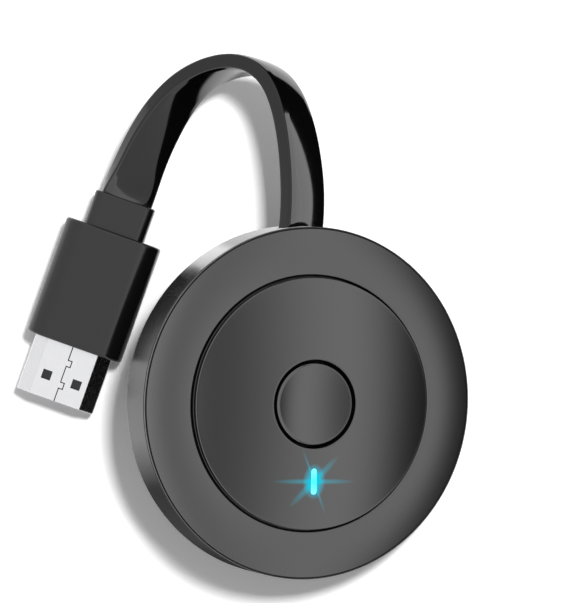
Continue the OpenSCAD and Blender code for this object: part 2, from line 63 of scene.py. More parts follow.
# The camera looks straight down, as in the photograph
camera = {
    "place": (-2.61, 17.151, 650),     # mm
    "lens": 221.6, "sensor": 36,       # mm
    "farthest": 20,                    # m
}

camData = bpy.data.cameras.new("photoCamera")
camData.lens = camera["lens"]
camData.sensor_width = camera["sensor"]
camData.clip_end = camera["farthest"]
camObject = bpy.data.objects.new("photoCamera", camData)
camObject.location = [a * mm for a in camera["place"]]
bpy.context.scene.collection.objects.link(camObject)
bpy.context.scene.camera = camObject
print("camera set")

meshing = {
    "sharpFrom": 32,     # degrees; an edge that turns by more stays sharp
    "weld": 1e-7,        # m; points nearer than this become one
    "onAxis": 1e-6,      # mm; a ring smaller than this is one point
}


def arcPoints(centre, radius, fromDeg, toDeg, steps):
    angles = [math.radians(fromDeg + (toDeg - fromDeg) * i / steps) for i in range(steps + 1)]
    return [(centre[0] + radius * math.cos(a), centre[1] + radius * math.sin(a)) for a in angles]


def circlePoints(centre, radius, count):
    return arcPoints(centre, radius, 0, 360 - 360 / count, count - 1)


def rectangle(left, right, low, high):
    return [(left, low), (right, low), (right, high), (left, high)]


def softOutline(corners, steps):
    # corners: (x, y, radius); each corner is turned into an arc that touches both of its sides
    out = []
    count = len(corners)
    for i in range(count):
        x, y, radius = corners[i]
        p = Vector((x, y))
        a = (Vector(corners[i - 1][:2]) - p).normalized()
        b = (Vector(corners[(i + 1) % count][:2]) - p).normalized()
        half = a.angle(b) / 2
        reach = radius / math.tan(half)
        centre = p + (a + b).normalized() * (radius / math.sin(half))
        start = (p + a * reach) - centre
        end = (p + b * reach) - centre
        turn = -start.angle_signed(end)
        for k in range(steps + 1):
            t = turn * k / steps
            v = Vector((start.x * math.cos(t) - start.y * math.sin(t),
                        start.x * math.sin(t) + start.y * math.cos(t)))
            out.append((centre.x + v.x, centre.y + v.y))
    return out


def softBox(width, height, radius, steps=8):
    w, h = width / 2, height / 2
    return softOutline([(w, h, radius), (-w, h, radius), (-w, -h, radius), (w, -h, radius)], steps)


def capsule(width, length, at, steps=12):
    r = width / 2
    h = length / 2 - r
    top = arcPoints((at[0], at[1] + h), r, 0, 180, steps)
    low = arcPoints((at[0], at[1] - h), r, 180, 360, steps)
    return top + low


def smooth(piece):
    piece.data.shade_smooth()
    piece.data.set_sharp_from_angle(angle=math.radians(meshing["sharpFrom"]))


def evenNormals(piece):
    weigh = piece.modifiers.new("evenNormals", "WEIGHTED_NORMAL")
    weigh.keep_sharp = True


def addPiece(name, verts, faces, place=None):
    mesh = bpy.data.meshes.new(name)
    place = place or Matrix()
    mesh.from_pydata([place @ (Vector(v) * mm) for v in verts], [], faces)
    bm = bmesh.new()
    bm.from_mesh(mesh)
    bmesh.ops.remove_doubles(bm, verts=bm.verts, dist=meshing["weld"])
    bmesh.ops.recalc_face_normals(bm, faces=bm.faces)
    bm.to_mesh(mesh)
    bm.free()
    piece = bpy.data.objects.new(name, mesh)
    bpy.context.scene.collection.objects.link(piece)
    smooth(piece)
    return piece


def turned(name, profile, place, steps=256):
    # solid of revolution about z; profile is a closed outline of (radius, height)
    verts, rings, faces = [], [], []
    for r, z in profile:
        if r < meshing["onAxis"]:
            rings.append([len(verts)] * steps)
            verts.append((0, 0, z))
        else:
            rings.append(list(range(len(verts), len(verts) + steps)))
            angles = [2 * math.pi * i / steps for i in range(steps)]
            verts += [(r * math.cos(a), r * math.sin(a), z) for a in angles]
    for k in range(len(rings)):
        a, b = rings[k], rings[(k + 1) % len(rings)]
        for i in range(steps):
            j = (i + 1) % steps
            quad = []
            for v in (a[i], a[j], b[j], b[i]):
                if v not in quad:
                    quad.append(v)
            if len(quad) > 2:
                faces.append(quad)
    return addPiece(name, verts, faces, place)


def lofted(name, rings, place=None, capped=True):
    # skin over rings of equal length, each a list of (x, y, z)
    count = len(rings[0])
    verts = [p for ring in rings for p in ring]
    faces = []
    for k in range(len(rings) - 1):
        for i in range(count):
            j = (i + 1) % count
            faces.append((k * count + i, k * count + j, (k + 1) * count + j, (k + 1) * count + i))
    if capped:
        faces.append(list(range(count))[::-1])
        faces.append([(len(rings) - 1) * count + i for i in range(count)])
    return addPiece(name, verts, faces, place)


def prism(name, outline, low, high, place, axis="z"):
    # straight block with the given outline; along y the outline is in x and z
    if axis == "z":
        rings = [[(x, y, h) for x, y in outline] for h in (low, high)]
    else:
        rings = [[(x, h, y) for x, y in outline] for h in (low, high)]
    return lofted(name, rings, place)


def carve(piece, cutters, operation="DIFFERENCE"):
    for cutter in cutters:
        step = piece.modifiers.new("carve", "BOOLEAN")
        step.operation = operation
        step.solver = "EXACT"
        step.object = cutter
    bpy.context.view_layer.update()
    shaped = bpy.data.meshes.new_from_object(piece.evaluated_get(bpy.context.evaluated_depsgraph_get()))
    piece.modifiers.clear()
    old = piece.data
    piece.data = shaped
    shaped.name = piece.name
    bpy.data.meshes.remove(old)
    for cutter in cutters:
        data = cutter.data
        bpy.data.objects.remove(cutter)
        bpy.data.meshes.remove(data)
    smooth(piece)


# The flat lead, from the case to the plug. Every size of a piece is in mm.
lead = {
    "width": 9.2, "thickness": 3.2, "edge": 0.5, "swell": 0.35,
    "startY": 27.6593, "startZ": 4.6,      # where it leaves the gland, in the puck's frame
    "endY": 16.6, "endZ": 4.75,            # where it enters the neck, in the plug's frame
    "straight": 1,                         # how far it runs straight on at its two ends
    "startTilt": -25, "endTilt": -15,      # degrees that it lies turned there
    # points that pull the curve, and which way the width points at each of them
    "middle": [(0.7, 35, 17.9), (-0.2, 45.5, 18.3), (-3.2, 55.7, 17.4), (-10.1, 58.6, 15.2),
               (-19.2, 55.3, 12.5), (-25.1, 46.7, 9.4), (-28.1, 40, 6.5)],
    "widthWay": [(0.66, 0.15, -0.74), (0.57, 0.08, -0.82), (0.45, -0.04, -0.89), (0.51, -0.14, -0.85),
                 (0.61, -0.05, -0.79), (0.84, -0.04, -0.55), (0.87, 0, -0.48)],
    "stepsPerSpan": 20, "stepsAcross": 16,
    "slotGap": 0.2, "slotEdge": 1.3, "slotReach": (26.6, 31),      # its slot in the case's wall
}


def inMm(matrix, point):
    return matrix @ (Vector(point) * mm) / mm


def leadSection():
    # wide faces swell a little, thin sides are flat, and the edges between them are crisp
    w, h, r = lead["width"] / 2, lead["thickness"] / 2, lead["edge"]
    side = h - lead["swell"]
    wide = []
    for k in range(lead["stepsAcross"] + 1):
        x = (w - 2 * r) * (1 - 2 * k / lead["stepsAcross"])
        wide.append((x, h - lead["swell"] * (x / w) ** 2))
    half = arcPoints((w - r, side - r), r, 0, 90, 6) + wide + arcPoints((r - w, side - r), r, 90, 180, 6)
    return half + [(-x, -y) for x, y in half]


def leadRings():
    puckTurn, plugTurn = puckFrame.to_3x3(), plugFrame.to_3x3()
    startX = puckTurn @ Vector((1, 0, math.tan(math.radians(lead["startTilt"]))))
    endX = plugTurn @ Vector((1, 0, math.tan(math.radians(lead["endTilt"]))))
    straight = lead["straight"]
    points = [inMm(puckFrame, (0, lead["startY"] + k * straight, lead["startZ"])) for k in (-1, 0, 1)]
    points += [Vector(p) for p in lead["middle"]]
    points += [inMm(plugFrame, (0, lead["endY"] + k * straight, lead["endZ"])) for k in (1, 0, -1)]
    hints = [startX] * 3 + [Vector(p) for p in lead["widthWay"]] + [endX] * 3
    section = leadSection()
    rings, path = [], []
    steps = lead["stepsPerSpan"]
    spans = len(points) - 3
    for k in range(spans * steps + 1):
        i = min(k // steps, spans - 1)
        t = k / steps - i
        # cubic B-spline: the shares of four neighbouring points, and how fast each share changes
        weights = ((1 - t) ** 3 / 6, (3 * t ** 3 - 6 * t ** 2 + 4) / 6,
                   (1 + 3 * t + 3 * t ** 2 - 3 * t ** 3) / 6, t ** 3 / 6)
        slopes = (-(1 - t) ** 2, 3 * t ** 2 - 4 * t, 1 + 2 * t - 3 * t ** 2, t ** 2)
        at, way, wide = Vector(), Vector(), Vector()
        for n in range(4):
            at += weights[n] * points[i + n]
            way += slopes[n] * points[i + n]
            wide += weights[n] * hints[i + n]
        way.normalize()
        wide = (wide - wide.dot(way) * way).normalized()
        thick = way.cross(wide)
        rings.append([at + wide * x + thick * y for x, y in section])
        path.append(at * mm)
    return rings, path


leadSkin, leadPath = leadRings()
leadPiece = lofted("lead_jacket", leadSkin)
evenNormals(leadPiece)
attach(leadPiece, "case")
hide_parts("flat_lead")

# The case: a tub with screw posts and holes for the lead and for the power inlet
case = {
    "radius": 30, "wallHeight": 9.2, "wall": 1.6, "floor": 1.6, "baseEdge": 1,
    "seamZ": 8.6, "seamHeight": 0.2, "seamDepth": 0.3, "seamRound": 0.12,
    "postRadius": 2.4, "postTop": 4.6, "postSink": 0.02,      # the posts start a little inside the floor
    "screwCircle": 22.6, "screwAngles": (40, 140, 220, 320), "screwHole": 1.05, "screwReach": (2.4, 6),
}
inlet = {
    "width": 7.5, "height": 2.5, "bevelWidth": 1, "bevelHeight": 0.9, "edge": 0.25, "z": 4.6,
    "mouthY": -28.9, "rearY": -23.3, "sheet": 0.3, "lip": 0.1, "lipRound": 0.08,
    "holeGap": 0.2, "holeEdge": 0.4, "holeReach": (-31, -26.8),      # its hole in the case's wall
    "tabX": 3.65, "tabHalfWidth": 0.9, "tabY": (-24.9, -23.3), "tabZ": (5.6, 5.9),
}


def inletOutline(shrink, edge):
    w, h = inlet["width"] / 2 - shrink, inlet["height"] / 2 - shrink
    bw, bh = inlet["bevelWidth"], inlet["bevelHeight"]
    corners = [(w, h, edge), (-w, h, edge), (-w, bh - h, edge), (bw - w, -h, edge), (w - bw, -h, edge),
               (w, bh - h, edge)]
    return [(x, y + inlet["z"]) for x, y in softOutline(corners, 4)]


outer, inner = case["radius"], case["radius"] - case["wall"]
baseEdge, seamRound = case["baseEdge"], case["seamRound"]
seamLow = case["seamZ"] - case["seamHeight"]
wallProfile = [(0, 0)]
wallProfile += arcPoints((outer - baseEdge, baseEdge), baseEdge, -90, 0, 10)
wallProfile += arcPoints((outer - seamRound, seamLow - seamRound), seamRound, 0, 90, 4)
wallProfile += [(outer - case["seamDepth"], seamLow), (outer - case["seamDepth"], case["seamZ"]),
                (inner, case["seamZ"]), (inner, case["floor"]), (0, case["floor"])]
shell = turned("case_wall", wallProfile, puckFrame)
screwPlaces = [(case["screwCircle"] * math.cos(math.radians(angle)),
                case["screwCircle"] * math.sin(math.radians(angle))) for angle in case["screwAngles"]]
posts = [prism("post", circlePoints(at, case["postRadius"], 32), case["floor"] - case["postSink"],
               case["postTop"], puckFrame) for at in screwPlaces]
carve(shell, posts, "UNION")
holes = [prism("hole", circlePoints(at, case["screwHole"], 24), *case["screwReach"], puckFrame)
         for at in screwPlaces]
slot = softBox(lead["width"] + 2 * lead["slotGap"], lead["thickness"] + 2 * lead["slotGap"], lead["slotEdge"])
tilt = math.radians(lead["startTilt"])
slot = [(x * math.cos(tilt) - y * math.sin(tilt), x * math.sin(tilt) + y * math.cos(tilt) + lead["startZ"])
        for x, y in slot]
holes.append(prism("hole", slot, *lead["slotReach"], puckFrame, "y"))
holes.append(prism("hole", inletOutline(-inlet["holeGap"], inlet["holeEdge"]), *inlet["holeReach"],
                   puckFrame, "y"))
carve(shell, holes)
evenNormals(shell)
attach(shell, "case")
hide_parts("back_shell")

# The front: a ring with a shallow crown, and in its groove a round plate with a shallow dome
cover = {
    "ringInner": 21.7, "ringRise": 0.3, "crownFrom": 22.6, "crownDrop": 0.5, "lipRound": 0.35,
    "gap": 0.2, "gapDepth": 0.32, "gapLip": 0.16,      # the dark line that goes round the front's edge
    "crownBreak": 0.04, "lowBreak": 0.08,              # how far two sharp edges are broken
    "lidRadius": 28.2, "ledgeZ": 7.5, "ledge": 1.2, "skirt": 0.6, "skirtThickness": 1.2, "hole": 7.5,
    "crownSteps": 24,
}

groove, top = cover["ringInner"], case["wallHeight"] + cover["ringRise"]
lip, gapR, edgeZ = cover["gapLip"] / 2, outer - cover["gapLip"], top - cover["crownDrop"]
gapFloor = edgeZ - cover["gapDepth"]
crownWidth = gapR - cover["gap"] - cover["crownBreak"] - cover["crownFrom"]
crown = []
for k in range(cover["crownSteps"] + 1):
    r = cover["crownFrom"] + crownWidth * k / cover["crownSteps"]
    crown.append((r, top - cover["crownDrop"] * (k / cover["crownSteps"]) ** 2))
lipRound, ledgeTop = cover["lipRound"], cover["ledgeZ"] + cover["ledge"]
skirtInner, skirtLow = cover["lidRadius"] - cover["skirtThickness"], cover["ledgeZ"] - cover["skirt"]
coverProfile = [(outer, case["seamZ"] + cover["lowBreak"])]
coverProfile += arcPoints((outer - lip, edgeZ - lip - cover["crownBreak"]), lip, 0, 180, 12)
coverProfile += [(gapR, gapFloor), (gapR - cover["gap"], gapFloor),
                 (gapR - cover["gap"], edgeZ - cover["crownBreak"])]
coverProfile += crown[::-1]
coverProfile += arcPoints((groove + lipRound, top - lipRound), lipRound, 90, 180, 10)
coverProfile += [(groove, ledgeTop), (cover["hole"], ledgeTop), (cover["hole"], cover["ledgeZ"]),
                 (skirtInner, cover["ledgeZ"]), (skirtInner, skirtLow), (cover["lidRadius"], skirtLow),
                 (cover["lidRadius"], case["seamZ"]), (outer - cover["lowBreak"], case["seamZ"])]
ring = turned("front_ring", coverProfile, puckFrame)

plate = {
    "radius": 21.54, "seatZ": 8.7, "edgeZ": 10.5, "dome": 1.1, "rim": 21.42, "edgeRound": 0.14,
    "bead": 0.06, "beadRise": 0.9, "beadStep": 0.1, "hole": 7.5, "holeRound": 0.16,
    "lightY": 13.14, "lightWidth": 1, "lightLength": 4.4, "slotGap": 0.05, "slotReach": (6, 13),
    "domeSteps": 40,
}
domeR = (plate["radius"] ** 2 + plate["dome"] ** 2) / (2 * plate["dome"])
domeLow = plate["edgeZ"] + plate["dome"] - domeR


def domeZ(r):
    return domeLow + math.sqrt(domeR ** 2 - r ** 2)


bead, edge = plate["bead"], plate["edgeRound"]
rim, holeR, holeRound = plate["rim"], plate["hole"], plate["holeRound"]
beadZ = plate["seatZ"] + plate["beadRise"]
plateProfile = [(holeR, plate["seatZ"]), (plate["radius"], plate["seatZ"])]
plateProfile += arcPoints((plate["radius"] - bead, beadZ), bead, 0, 180, 10)
plateProfile += [(plate["radius"] - 2 * bead, beadZ - plate["beadStep"]), (rim, beadZ - plate["beadStep"])]
plateProfile += arcPoints((rim - edge, domeZ(rim - edge) - edge), edge, 0, 84, 5)
for k in range(plate["domeSteps"] + 1):
    r = rim - edge + (holeR + holeRound - rim + edge) * k / plate["domeSteps"]
    plateProfile.append((r, domeZ(r)))
plateProfile += arcPoints((holeR + holeRound, domeZ(holeR) - holeRound), holeRound, 90, 180, 5)[1:]
domePlate = turned("centre_disc", plateProfile, puckFrame)
lightSlot = capsule(plate["lightWidth"] + 2 * plate["slotGap"], plate["lightLength"] + 2 * plate["slotGap"],
                    (0, -plate["lightY"]))
for piece in (domePlate, ring):
    carve(piece, [prism("slot", lightSlot, *plate["slotReach"], puckFrame)])
for piece, node in ((ring, "front_cover"), (domePlate, "centre_plate")):
    evenNormals(piece)
    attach(piece, "case")
    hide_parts(node)
print("case made")

# The push button: a dished cap with a flange that holds it in, and a stem onto the switch
button = {
    "radius": 7.05, "edge": 0.35, "dish": 0.34, "stemZ": 6.8, "flangeTop": 7.3, "flangeRadius": 8.25,
    "flange": 0.5, "stemRadius": 1.6, "wall": 1.1, "roof": 1.4, "dishSteps": 24,
    "lacquerDown": 1,      # how far down from its rim it is lacquered
}

capTop = domeZ(plate["hole"])
roofZ = capTop - button["roof"]
dishR = button["radius"] - button["edge"]
bowl = (dishR ** 2 + button["dish"] ** 2) / (2 * button["dish"])
buttonProfile = []
for k in range(button["dishSteps"] + 1):
    r = dishR * k / button["dishSteps"]
    buttonProfile.append((r, capTop - button["dish"] + bowl - math.sqrt(bowl ** 2 - r ** 2)))
buttonProfile += arcPoints((dishR, capTop - button["edge"]), button["edge"], 84, 0, 8)
flangeLow = button["flangeTop"] - button["flange"]
capInner = button["radius"] - button["wall"]
buttonProfile += [(button["radius"], button["flangeTop"]), (button["flangeRadius"], button["flangeTop"]),
                  (button["flangeRadius"], flangeLow), (capInner, flangeLow), (capInner, roofZ),
                  (button["stemRadius"], roofZ), (button["stemRadius"], button["stemZ"]),
                  (0, button["stemZ"])]
cap = turned("press_button", buttonProfile, puckFrame, 192)
evenNormals(cap)
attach(cap, "button")
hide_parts("button_cap")

# The light: an upright capsule that stands in the plate, on a foot under the front
pipe = {
    "foot": 0.6, "footHeight": 0.5, "tail": 0.4,
    "sink": 0.02,                                        # how far its end lies below the plate
    "topEdge": [(0, 0.12), (0.04, 0.03), (0.14, 0)],     # how far in and how far down, round its end
}
pipeTop = domeZ(plate["lightY"]) - pipe["sink"]
footLow = cover["ledgeZ"] - pipe["footHeight"]
levels = [(0, footLow - pipe["tail"]), (0, footLow), (pipe["foot"], footLow),
          (pipe["foot"], cover["ledgeZ"]), (0, cover["ledgeZ"])]
levels += [(-inset, pipeTop - drop) for inset, drop in pipe["topEdge"]]
pipeRings = []
for grow, z in levels:
    outline = capsule(plate["lightWidth"] + 2 * grow, plate["lightLength"] + 2 * grow,
                      (0, -plate["lightY"]), 16)
    pipeRings.append([(x, y, z) for x, y in outline])
lightPipe = lofted("light_pipe", pipeRings, puckFrame)
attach(lightPipe, "case")
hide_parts("light_lens")
print("button and light made")

# The power inlet's sheet metal shell, open at both ends, with two solder tabs at the rear
mouthY, rearY, inletSheet = inlet["mouthY"], inlet["rearY"], inlet["sheet"]
inletRings = []
for shrink, y in ((inletSheet, rearY), (inletSheet, mouthY + inlet["lip"]),
                  (inletSheet - inlet["lipRound"], mouthY), (inlet["lipRound"], mouthY),
                  (0, mouthY + inlet["lip"]), (0, rearY), (inletSheet, rearY)):
    inletRings.append([(x, y, z) for x, z in inletOutline(shrink, inlet["edge"])])
socket = lofted("inlet_shell", inletRings, puckFrame, capped=False)
for side in (-1, 1):
    x = side * inlet["tabX"]
    tab = rectangle(x - inlet["tabHalfWidth"], x + inlet["tabHalfWidth"], *inlet["tabY"])
    carve(socket, [prism("tab", tab, *inlet["tabZ"], puckFrame)], "UNION")
evenNormals(socket)
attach(socket, "case")
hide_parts("usb_shell")
print("inlet made")

# The plug: a soft-edged housing with a neck, and a sheet metal plug with a folded seam and two windows
plug = {
    "width": 17.2, "length": 21, "thickness": 9.5, "edge": 3.4, "endRound": 0.5, "axisZ": 4.75,
    "neckWidth": 10.8, "neckThickness": 5.5, "neckLength": 6.1, "neckEdge": 1.5, "neckRound": 0.35,
    "edgeGive": 0.6,                            # how much of an end's rounding its corners give up
    "metalWidth": 13.9, "metalHeight": 4.45, "sheet": 0.35, "metalOut": 10, "metalIn": 6,
    "bevelWidth": 2.35, "bevelHeight": 1.9, "metalEdge": 0.45, "innerEdge": 0.225, "play": 0.05,
    # how far in and how far back, round the outer and the inner edge of the metal tip
    "tipOuter": [(0, 0.18), (0.05, 0.06), (0.14, 0)], "tipInner": [(0.14, 0), (0.05, 0.06), (0, 0.2)],
    "window": 1.65, "windowPitch": 5.4, "windowIn": 3.1,
    "seam": 0.18, "seamDepth": 0.6,             # its width, and its depth as a share of the sheet
    "jog": 0.7, "jogLength": 1.1, "jogPlaces": (2.4, 6.4),
    "seamDark": 0.7, "seamFrom": 0.3,           # how deep it is dark, as a share, and how far from the tip
    "cutOver": 1, "cutUnder": 0.02,             # how far the cutters reach past the sheet
}


def blockRings(width, thickness, edge, low, high, endRound, lowRounded=True, steps=6):
    # straight block along y whose ends are rounded over
    rings = []
    for y, way, rounded in ((low, 1, lowRounded), (high, -1, True)):
        part = []
        for k in range(steps + 1):
            a = math.radians(90 * k / steps)
            inset = endRound * (1 - math.sin(a)) if rounded else 0
            at = y + way * endRound * (1 - math.cos(a)) if rounded else y
            outline = softBox(width - 2 * inset, thickness - 2 * inset, edge - inset * plug["edgeGive"], 10)
            part.append([(x, at, z + plug["axisZ"]) for x, z in outline])
            if not rounded:
                break
        rings += part if way == 1 else part[::-1]
    return rings


def metalOutline(grow, edge):
    w, h = plug["metalWidth"] / 2 + grow, plug["metalHeight"] / 2 + grow
    bw, bh = plug["bevelWidth"], plug["bevelHeight"]
    corners = [(-w, -h, edge), (-w, h - bh, edge), (bw - w, h, edge), (w - bw, h, edge), (w, h - bh, edge),
               (w, -h, edge)][::-1]
    return [(x, z + plug["axisZ"]) for x, z in softOutline(corners, 5)]


half = plug["length"] / 2
tip, rear = -half - plug["metalOut"], plug["metalIn"] - half
housing = lofted("plug_body", blockRings(plug["width"], plug["thickness"], plug["edge"], -half, half,
                                         plug["endRound"]), plugFrame)
pocket = metalOutline(plug["play"], plug["metalEdge"])
carve(housing, [prism("pocket", pocket, -half - plug["cutOver"], rear, plugFrame, "y")])
neck = lofted("plug_collar", blockRings(plug["neckWidth"], plug["neckThickness"], plug["neckEdge"], half,
                                        half + plug["neckLength"], plug["neckRound"], False), plugFrame)

sheet = plug["sheet"]
levels = [(0, rear)] + [(-inset, tip + back) for inset, back in plug["tipOuter"]]
levels += [(inset - sheet, tip + back) for inset, back in plug["tipInner"]] + [(-sheet, rear), (0, rear)]
metalRings = []
for grow, y in levels:
    edge = plug["metalEdge"] if grow > -sheet / 2 else plug["innerEdge"]
    metalRings.append([(x, y, z) for x, z in metalOutline(grow, edge)])
metal = lofted("plug_metal", metalRings, plugFrame, capped=False)
topZ = plug["axisZ"] + plug["metalHeight"] / 2
w, s, j = plug["window"] / 2, plug["seam"] / 2, plug["jog"]
cutters = []
for side in (-1, 1):
    x, y = side * plug["windowPitch"] / 2, tip + plug["windowIn"] + plug["window"] / 2
    cutters.append(prism("window", rectangle(x - w, x + w, y - w, y + w), topZ - sheet - plug["cutUnder"],
                         topZ + plug["cutOver"], plugFrame))
seamPoints = [(0, -plug["cutOver"])]
for start in plug["jogPlaces"]:
    end = start + plug["jogLength"]
    seamPoints += [(0, start), (j, start), (j, end), (0, end)]
seamPoints.append((0, plug["metalOut"]))
for a, b in zip(seamPoints, seamPoints[1:]):
    x0, x1 = min(a[0], b[0]) - s, max(a[0], b[0]) + s
    y0, y1 = min(a[1], b[1]) - s, max(a[1], b[1]) + s
    cutters.append(prism("seam", rectangle(x0, x1, tip + y0, tip + y1), topZ - sheet * plug["seamDepth"],
                         topZ + plug["cutOver"], plugFrame))
carve(metal, cutters)
for piece, node in ((housing, "plug_housing"), (neck, "plug_neck"), (metal, "hdmi_shell")):
    evenNormals(piece)
    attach(piece, "case")
    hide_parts(node)
print("plug made")


def toLinear(hexColour):
    # sRGB hex to the linear values that Blender takes
    channels = [int(hexColour[i:i + 2], 16) / 255 for i in (1, 3, 5)]
    return [c / 12.92 if c <= 0.04045 else ((c + 0.055) / 1.055) ** 2.4 for c in channels] + [1]


def addNode(tree, kind, settings=None, inputs=None, links=None):
    node = tree.nodes.new(kind)
    for key, value in (settings or {}).items():
        setattr(node, key, value)
    for key, value in (inputs or {}).items():
        node.inputs[key].default_value = value
    for key, outlet in (links or {}).items():
        tree.links.new(outlet, node.inputs[key])
    return node


def newMaterial(name, values):
    material = bpy.data.materials.new(name)
    material.use_nodes = True
    tree = material.node_tree
    surface = tree.nodes["Principled BSDF"]
    for key, value in values.items():
        surface.inputs[key].default_value = toLinear(value) if isinstance(value, str) else value
    return material, tree, surface


def grained(name, values, grainMm, depthMm, colours, spread, stretch=(1, 1, 1)):
    # a surface whose grain is a noise of the given real size, in relief, colour and gloss
    material, tree, surface = newMaterial(name, values)
    place = addNode(tree, "ShaderNodeTexCoord").outputs["Object"]
    scaled = addNode(tree, "ShaderNodeMapping", inputs={"Scale": [1 / a for a in stretch]},
                     links={"Vector": place})
    noise = addNode(tree, "ShaderNodeTexNoise", inputs={"Scale": 1 / (grainMm * mm), "Detail": 2},
                    links={"Vector": scaled.outputs[0]})
    if colours:
        mix = addNode(tree, "ShaderNodeMix", {"data_type": "RGBA"},
                      {6: toLinear(colours[0]), 7: toLinear(colours[1])}, {0: noise.outputs["Fac"]})
        tree.links.new(mix.outputs[2], surface.inputs["Base Color"])
    gloss = addNode(tree, "ShaderNodeMapRange", inputs={"To Min": spread[0], "To Max": spread[1]},
                    links={"Value": noise.outputs["Fac"]})
    tree.links.new(gloss.outputs[0], surface.inputs["Roughness"])
    bump = addNode(tree, "ShaderNodeBump", inputs={"Strength": 1, "Distance": depthMm * mm},
                   links={"Height": noise.outputs["Fac"]})
    tree.links.new(bump.outputs[0], surface.inputs["Normal"])
    return material, tree, surface, place


def paint(target, material):
    piece = frame["nodes"][target] if isinstance(target, str) else target
    piece.data.materials.clear()
    piece.data.materials.append(material)


def paintWhere(piece, material, pieceFrame, test):
    # a second material on the faces whose middle, in the given frame and in mm, passes the test
    piece.data.materials.append(material)
    back = pieceFrame.inverted()
    for face in piece.data.polygons:
        if test(back @ face.center / mm):
            face.material_index = len(piece.data.materials) - 1


# Moulded ABS, polished: a black skin that mirrors its surroundings a little softly
glossAbs = grained("polished black ABS", {"Base Color": "#0b0b0c", "Roughness": 0.21, "IOR": 1.56}, 2.4,
                   0.0012, None, (0.19, 0.23))[0]
paint(shell, glossAbs)

# Satin metallic lacquer over ABS: a grey that goes from light to dark with the sheen on it, and a fine
# grit. Its flakes are about 0.05 mm, and are drawn at 0.16 mm so that they show.
satinLooks = {"Base Color": "#636363", "Metallic": 1, "Roughness": 0.16}
# The ring's copy is a little lighter than the button's and the plate's: painted light, so that the flat ring
# shows as bright as its sheen
satinRing = grained("satin metallic lacquer, ring", satinLooks, 0.16, 0.0012, ("#696969", "#737373"),
                    (0.24, 0.28))[0]
paint(ring, satinRing)
satinCap = grained("satin metallic lacquer, button", satinLooks, 0.16, 0.001, ("#606060", "#686868"),
                   (0.14, 0.18))[0]
paint(cap, satinCap)

# The glow painted round the light on the plate (its tint, halo and rays), and the light pipe's own glow
glow = {
    "colour": "#19c9e4", "shade": "#0a3a42", "level": 0.9, "halo": (2.1, 3.1), "haloLevel": 1.3,
    "rays": [(-1.5, 7.8, 0.55), (44, 6.2, 0.8), (112, 6.4, 0.32)],    # degrees, reach and half width in mm
    "rayLevel": 0.5, "height": 20,                                    # mm, how far it reaches off the plate
    "pipeMiddle": "#12b8f0", "pipeRim": "#8dfcff", "pipeReach": 1.1, "pipeLevel": 1.0,
}


def aroundLight(tree, place, degrees, reach, width):
    # 1 in the middle of the light, falling to 0 at the rim of an ellipse that lies on the plate
    there = puckFrame @ Matrix.Translation((0, -plate["lightY"] * mm, plate["edgeZ"] * mm))
    lean = (there.to_3x3() @ Matrix.Rotation(math.radians(degrees), 3, "Z")).to_euler()
    local = addNode(tree, "ShaderNodeMapping", {"vector_type": "TEXTURE"},
                    {"Location": there.translation, "Rotation": lean,
                     "Scale": (reach * mm, width * mm, glow["height"] * mm)}, {"Vector": place})
    fall = addNode(tree, "ShaderNodeTexGradient", {"gradient_type": "SPHERICAL"},
                   links={0: local.outputs[0]})
    return fall.outputs[1]


# The same lacquer on the plate, with a glow painted round the light: a halo and three pairs of faint rays.
satinPlate, tree, surface, place = grained("satin metallic lacquer, disc", satinLooks, 0.16, 0.001,
                                           ("#606060", "#686868"), (0.14, 0.18))
spread = addNode(tree, "ShaderNodeMath", {"operation": "MULTIPLY"}, {1: glow["haloLevel"]},
                 {0: aroundLight(tree, place, 0, *glow["halo"])}).outputs[0]
for degrees, reach, width in glow["rays"]:
    spread = addNode(tree, "ShaderNodeMath", {"operation": "MULTIPLY_ADD"}, {1: glow["rayLevel"]},
                     {0: aroundLight(tree, place, degrees, reach, width), 2: spread}).outputs[0]
spread = addNode(tree, "ShaderNodeMath", {"operation": "MINIMUM"}, {1: 1.0}, {0: spread}).outputs[0]
lacquer = surface.inputs["Base Color"].links[0].from_socket
# painted glow: near the light the lacquer's colour turns to a dark cyan, and it glows there as emission
lit = addNode(tree, "ShaderNodeMix", {"data_type": "RGBA"}, {7: toLinear(glow["shade"])},
              {0: spread, 6: lacquer})
tree.links.new(lit.outputs[2], surface.inputs["Base Color"])
surface.inputs["Emission Color"].default_value = toLinear(glow["colour"])
strength = addNode(tree, "ShaderNodeMath", {"operation": "MULTIPLY"}, {1: glow["level"]}, {0: spread})
tree.links.new(strength.outputs[0], surface.inputs["Emission Strength"])
paint(domePlate, satinPlate)

# Bare moulded ABS in the gaps where the lacquer stops, near black as painted shade in them: every groove
# reads as a black line
bareAbsGapShade = grained("bare black ABS with painted gap shade", {"Base Color": "#060607", "Roughness": 0.5, "IOR": 1.54}, 0.3, 0.002,
                  ("#050506", "#08080a"), (0.44, 0.56))[0]
near = 0.01      # mm; faces this near to an edge belong to it


def onRing(at):
    r = math.hypot(at.x, at.y)
    inGap = gapR - cover["gap"] - near < r < gapR + near and at.z < edgeZ - cover["crownBreak"]
    return r < groove + near or at.z < case["seamZ"] + cover["lowBreak"] or inGap


def onPlate(at):
    r = math.hypot(at.x, at.y)
    return at.z < beadZ - near or rim - near < r < rim + bead or r < holeR + near


def onCap(at):
    return math.hypot(at.x, at.y) > button["radius"] - near or at.z < capTop - button["lacquerDown"]


# painted shade: near black on the faces down in the gaps, on the hidden sides and in the holes
paintWhere(ring, bareAbsGapShade, puckFrame, onRing)
paintWhere(domePlate, bareAbsGapShade, puckFrame, onPlate)
paintWhere(cap, bareAbsGapShade, puckFrame, onCap)

